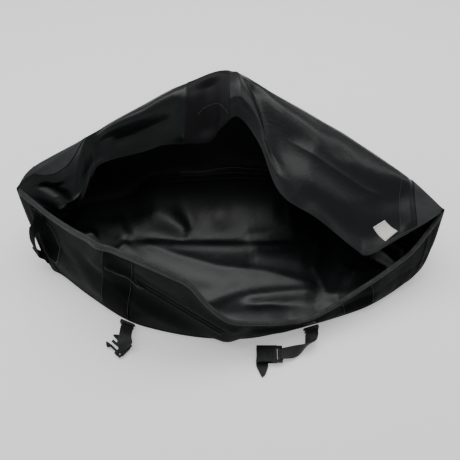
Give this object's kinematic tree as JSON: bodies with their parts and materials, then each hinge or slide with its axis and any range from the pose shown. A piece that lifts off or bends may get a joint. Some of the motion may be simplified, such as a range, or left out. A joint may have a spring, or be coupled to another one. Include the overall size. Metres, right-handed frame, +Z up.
{
  "type": "roll-top duffel dry bag",
  "caption": "Large soft roll-top duffel dry bag standing open: boat-shaped base, sagging front wall with a zipped pocket, rear collar flopped forward, end handle and two buckled straps.",
  "frame": {"origin": "on the underside of the base panel, below the middle of the bag", "axes": "+X along the bag from the end with the handle, +Y from the zipped front wall to the back, +Z up"},
  "size_m": [0.8602, 0.5278, 0.3259],
  "materials": {
    "outer_fabric": "matt",
    "coated_lining": "satin",
    "seam_tape": "satin",
    "binding_tape": "matt",
    "webbing": "matt",
    "cord": "matt",
    "label_cloth": "matt",
    "dark_metal": "satin",
    "moulded_plastic": "matt"
  },
  "bodies": {
    "root": {"base_panel": "outer_fabric", "front_panel": "outer_fabric", "back_panel": "outer_fabric", "liner_floor": "coated_lining", "liner_front": "coated_lining", "liner_back": "coated_lining", "seam_tape": "seam_tape", "rim_binding": "binding_tape", "band_front_left": "webbing", "band_front_right": "webbing", "band_back_left": "webbing", "band_back_right": "webbing", "pocket_bag": "coated_lining", "zipper_tape_upper": "binding_tape", "zipper_tape_lower": "binding_tape", "zipper_teeth_upper": "moulded_plastic", "zipper_teeth_lower": "moulded_plastic", "zipper_stop_top": "moulded_plastic", "zipper_stop_bottom": "moulded_plastic", "handle_anchor_top": "webbing", "handle_anchor_bottom": "webbing", "strap_anchor_left": "webbing", "strap_left": "webbing", "strap_anchor_right": "webbing", "strap_right": "webbing"},
    "collar": {"rear_collar": "outer_fabric", "collar_flap": "coated_lining", "hem_binding": "binding_tape", "blank_label": "label_cloth"},
    "slider": {"zipper_slider": "dark_metal"},
    "pull": {"pull_ring": "dark_metal", "pull_cord": "cord", "cord_end": "moulded_plastic"},
    "handle": {"end_handle": "webbing"},
    "male": {"male_buckle": "moulded_plastic"},
    "prong_left": {"male_prong_left": "moulded_plastic"},
    "prong_right": {"male_prong_right": "moulded_plastic"},
    "female": {"female_buckle": "moulded_plastic", "strap_tail": "webbing"}
  },
  "joints": [
    {"name": "mouth_fold", "type": "hinge", "parent": "root", "child": "collar", "pos_m": [0, 0.041, 0.1675], "axis": [0.9987, -0.0441, -0.0244], "range_deg": [0, 25]},
    {"name": "zipper_travel", "type": "slide", "parent": "root", "child": "slider", "axis": [0.8474, -0.3616, -0.3886], "range_m": [0, 0.16]},
    {"name": "pull_swing", "type": "hinge", "parent": "slider", "child": "pull", "pos_m": [-0.17223, -0.13421, 0.11385], "axis": [0.3953, -0.0589, 0.9167], "range_deg": [0, 120]},
    {"name": "handle_swing", "type": "hinge", "parent": "root", "child": "handle", "pos_m": [-0.40159, -0.01685, 0.03766], "axis": [0.1157, 0.2237, 0.9678], "range_deg": [-10, 10]},
    {"name": "male_tilt", "type": "hinge", "parent": "root", "child": "male", "pos_m": [-0.207, -0.214, 0.006], "axis": [0.6428, 0.766, 0], "range_deg": [0, 12]},
    {"name": "prong_left_squeeze", "type": "hinge", "parent": "male", "child": "prong_left", "pos_m": [-0.2257, -0.21202, 0.006], "axis": [0, 0, -1], "range_deg": [0, 6], "stiffness_Nm_per_rad": 0.05},
    {"name": "prong_right_squeeze", "type": "hinge", "parent": "male", "child": "prong_right", "pos_m": [-0.2122, -0.19593, 0.006], "axis": [0, 0, 1], "range_deg": [0, 6], "stiffness_Nm_per_rad": 0.05},
    {"name": "female_tilt", "type": "hinge", "parent": "root", "child": "female", "pos_m": [0.101, -0.222, 0.009], "axis": [0, 1, 0], "range_deg": [0, 40]}
  ],
  "couplings": [
    {"joint": "prong_right_squeeze", "follows": "prong_left_squeeze", "ratio": 1}
  ]
}
